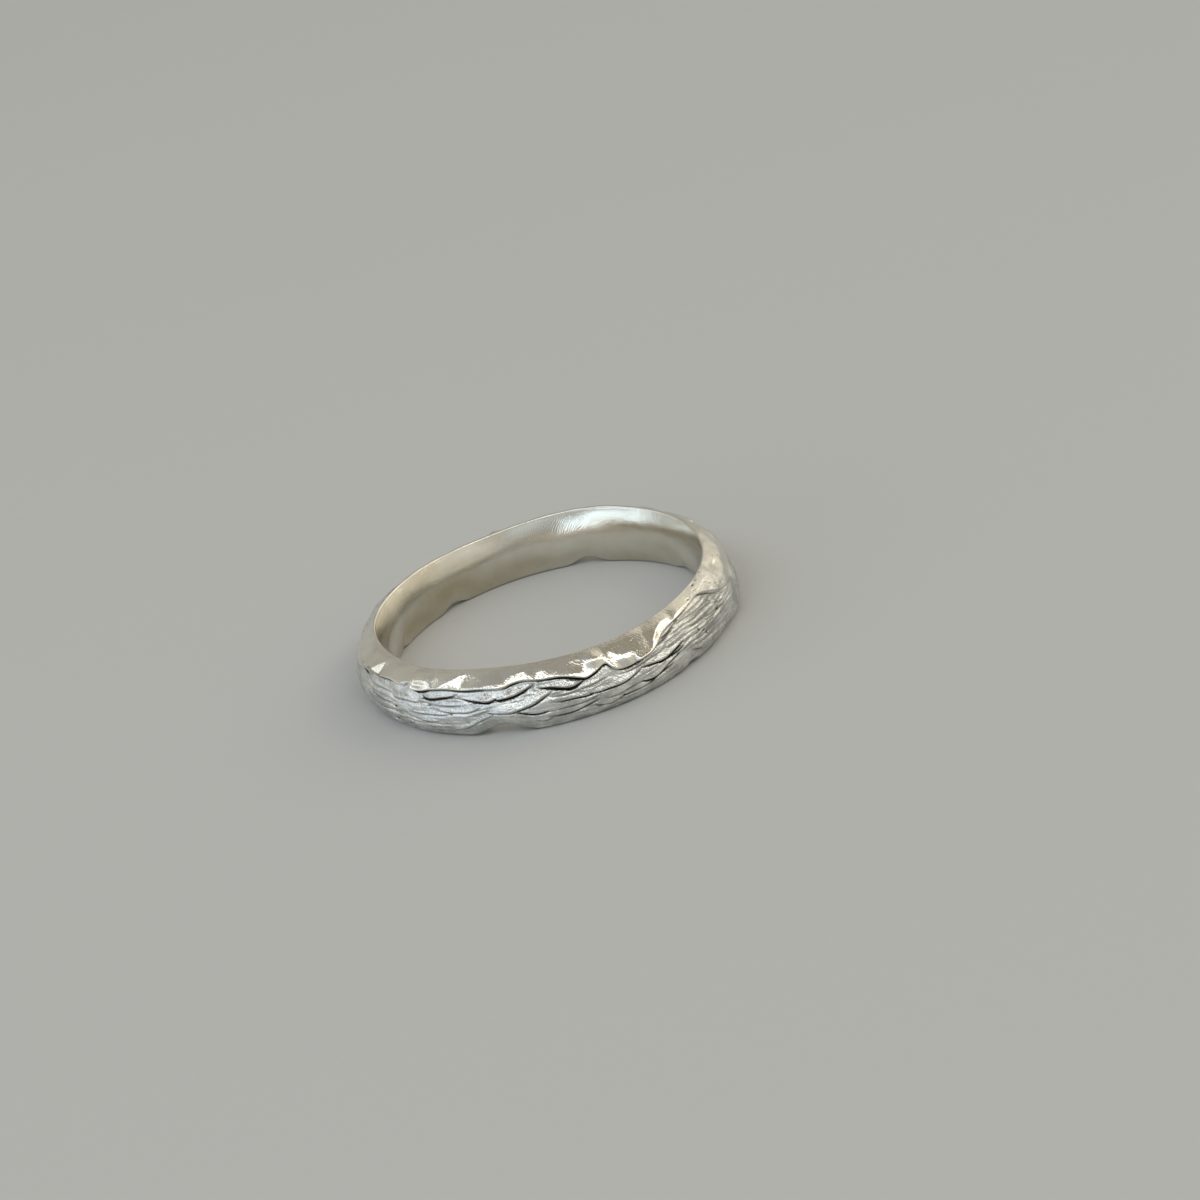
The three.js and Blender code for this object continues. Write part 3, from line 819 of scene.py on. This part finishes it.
def pale_table():
    """A large flat square in matt grey."""
    mesh = bpy.data.meshes.new("table_top")
    half = FLOOR_HALF
    corners = [(-half, -half, 0), (half, -half, 0), (half, half, 0), (-half, half, 0)]
    mesh.from_pydata(corners, [], [(0, 1, 2, 3)])
    material = bpy.data.materials.new("matt_card")
    material.use_nodes = True
    tree = material.node_tree
    tree.nodes.clear()
    shader = add(tree, "ShaderNodeBsdfPrincipled", Base_Color=linear("#C6C6C4"), Roughness=0.9)
    shader.inputs["Specular IOR Level"].default_value = 0.0
    add(tree, "ShaderNodeOutputMaterial", Surface=shader.outputs[0])
    mesh.materials.append(material)
    floor = bpy.data.objects.new("table_top", mesh)
    bpy.context.scene.collection.objects.link(floor)


pale_table()

LAMP_DISTANCE = 1.05


def towards(azimuth, elevation):
    """The direction so many degrees round from +X and up from the table, of length 1."""
    round_z, up = math.radians(azimuth), math.radians(elevation)
    return Vector((math.cos(up) * math.cos(round_z), math.cos(up) * math.sin(round_z), math.sin(up)))


def softbox(azimuth, elevation, size, radiance, colour):
    """A rectangular lamp that faces the ring from so many degrees round and up, LAMP_DISTANCE away.
    Its power is radiance times pi times its area."""
    lamp = bpy.data.lights.new("softbox", "AREA")
    lamp.shape = "RECTANGLE"
    lamp.size, lamp.size_y = size
    lamp.energy = radiance * math.pi * size[0] * size[1]
    lamp.color = linear(colour)[:3]
    holder = bpy.data.objects.new("softbox", lamp)
    holder.location = towards(azimuth, elevation) * LAMP_DISTANCE
    holder.rotation_euler = (-holder.location).to_track_quat("-Z", "Y").to_euler()
    bpy.context.scene.collection.objects.link(holder)


# A row of strips arched over the front and both sides, and a low cool card to the left.
softbox(268, 57, (0.85, 0.32), 1.6, "#FFFFFF")
softbox(218, 50, (0.6, 0.3), 1.45, "#F0F6FF")
softbox(186, 40, (0.55, 0.28), 1.2, "#E4EFFF")
softbox(158, 26, (0.45, 0.24), 0.8, "#F2F5FA")
softbox(320, 50, (0.6, 0.26), 1.6, "#FDFEFF")
softbox(353, 40, (0.55, 0.26), 1.6, "#FFF8EC")
softbox(22, 25, (0.45, 0.24), 1.1, "#FFF4E2")
softbox(207.6, 10.5, (1.25, 0.3), 1.3, "#CFE6FB")

world = bpy.data.worlds.new("room")
bpy.context.scene.world = world
world.use_nodes = True
room = world.node_tree
way = add(room, "ShaderNodeTexCoord").outputs["Generated"]
# The dim shapes of a room, each about 20 degrees across, between warm shade and pale wall.
shapes = noise(room, way, 1 / 3, detail=2.0, roughness=0.5)
tone = blend(room, spread(room, shapes, 0.36, 0.64), linear("#8A867B"), linear("#B4B5B2"))
# Soft glows of the walls and of cloth hung round the table: azimuth, elevation and reach in degrees.
for azimuth, elevation, reach, glow_colour in (
    (152, 42, 40, "#B0B0AA"),
    (165, 4, 34, "#BEC2C2"),
    (188, 62, 26, "#9EA09F"),
    (40, 28, 46, "#EEE8D9"),
    (350, 62, 24, "#8F8B7E"),
    (355, 8, 40, "#D6CFBF"),
    (308, 14, 30, "#B9B6AB"),
    (314, 32, 30, "#D2D0C8"),
    (258, 38, 26, "#CCD6DA"),
    (225, 12, 30, "#C3CACF"),
):
    side = towards(azimuth, elevation)
    near = add(room, "ShaderNodeVectorMath", {"operation": "DOT_PRODUCT"}, i0=way, i1=side).outputs["Value"]
    glow = add(
        room,
        "ShaderNodeMapRange",
        {"interpolation_type": "SMOOTHSTEP"},
        Value=near,
        From_Min=math.cos(math.radians(reach)),
        From_Max=1.0,
    ).outputs[0]
    tone = blend(room, glow, tone, linear(glow_colour))
room.links.new(tone, room.nodes["Background"].inputs["Color"])

# The view: a lens's length and its frame's width in mm, and the place and turns of the camera, found
# from the ring's edges. The shifts and the distance are in mm, the angles in radians.
LENS_LENGTH = 90
LENS_FRAME = 36
CAMERA_DISTANCE = 156.86
CAMERA_SHIFT_X = -2.394
CAMERA_SHIFT_Y = 2.112
CAMERA_ELEVATION = 0.4382
CAMERA_ROLL = -0.2687


def photo_camera():
    """Camera axes from the elevation and roll; the ring's origin lies at the given place before it."""
    ce, se = math.cos(CAMERA_ELEVATION), math.sin(CAMERA_ELEVATION)
    cr, sr = math.cos(CAMERA_ROLL), math.sin(CAMERA_ROLL)
    level = Matrix(((1, 0, 0), (0, -se, -ce), (0, ce, -se)))
    turn = Matrix(((cr, -sr, 0), (sr, cr, 0), (0, 0, 1))) @ level
    right, down, forward = turn
    place = -(turn.transposed() @ Vector((CAMERA_SHIFT_X, CAMERA_SHIFT_Y, CAMERA_DISTANCE))) * MM
    lens = bpy.data.cameras.new("photo_camera")
    lens.lens = LENS_LENGTH
    lens.sensor_width = LENS_FRAME
    lens.clip_start = 0.01
    holder = bpy.data.objects.new("photo_camera", lens)
    axes = Matrix((right, -down, -forward)).transposed().to_4x4()
    holder.matrix_world = Matrix.Translation(place) @ axes
    bpy.context.scene.collection.objects.link(holder)
    bpy.context.scene.camera = holder


photo_camera()
bpy.context.scene.view_settings.view_transform = "Standard"
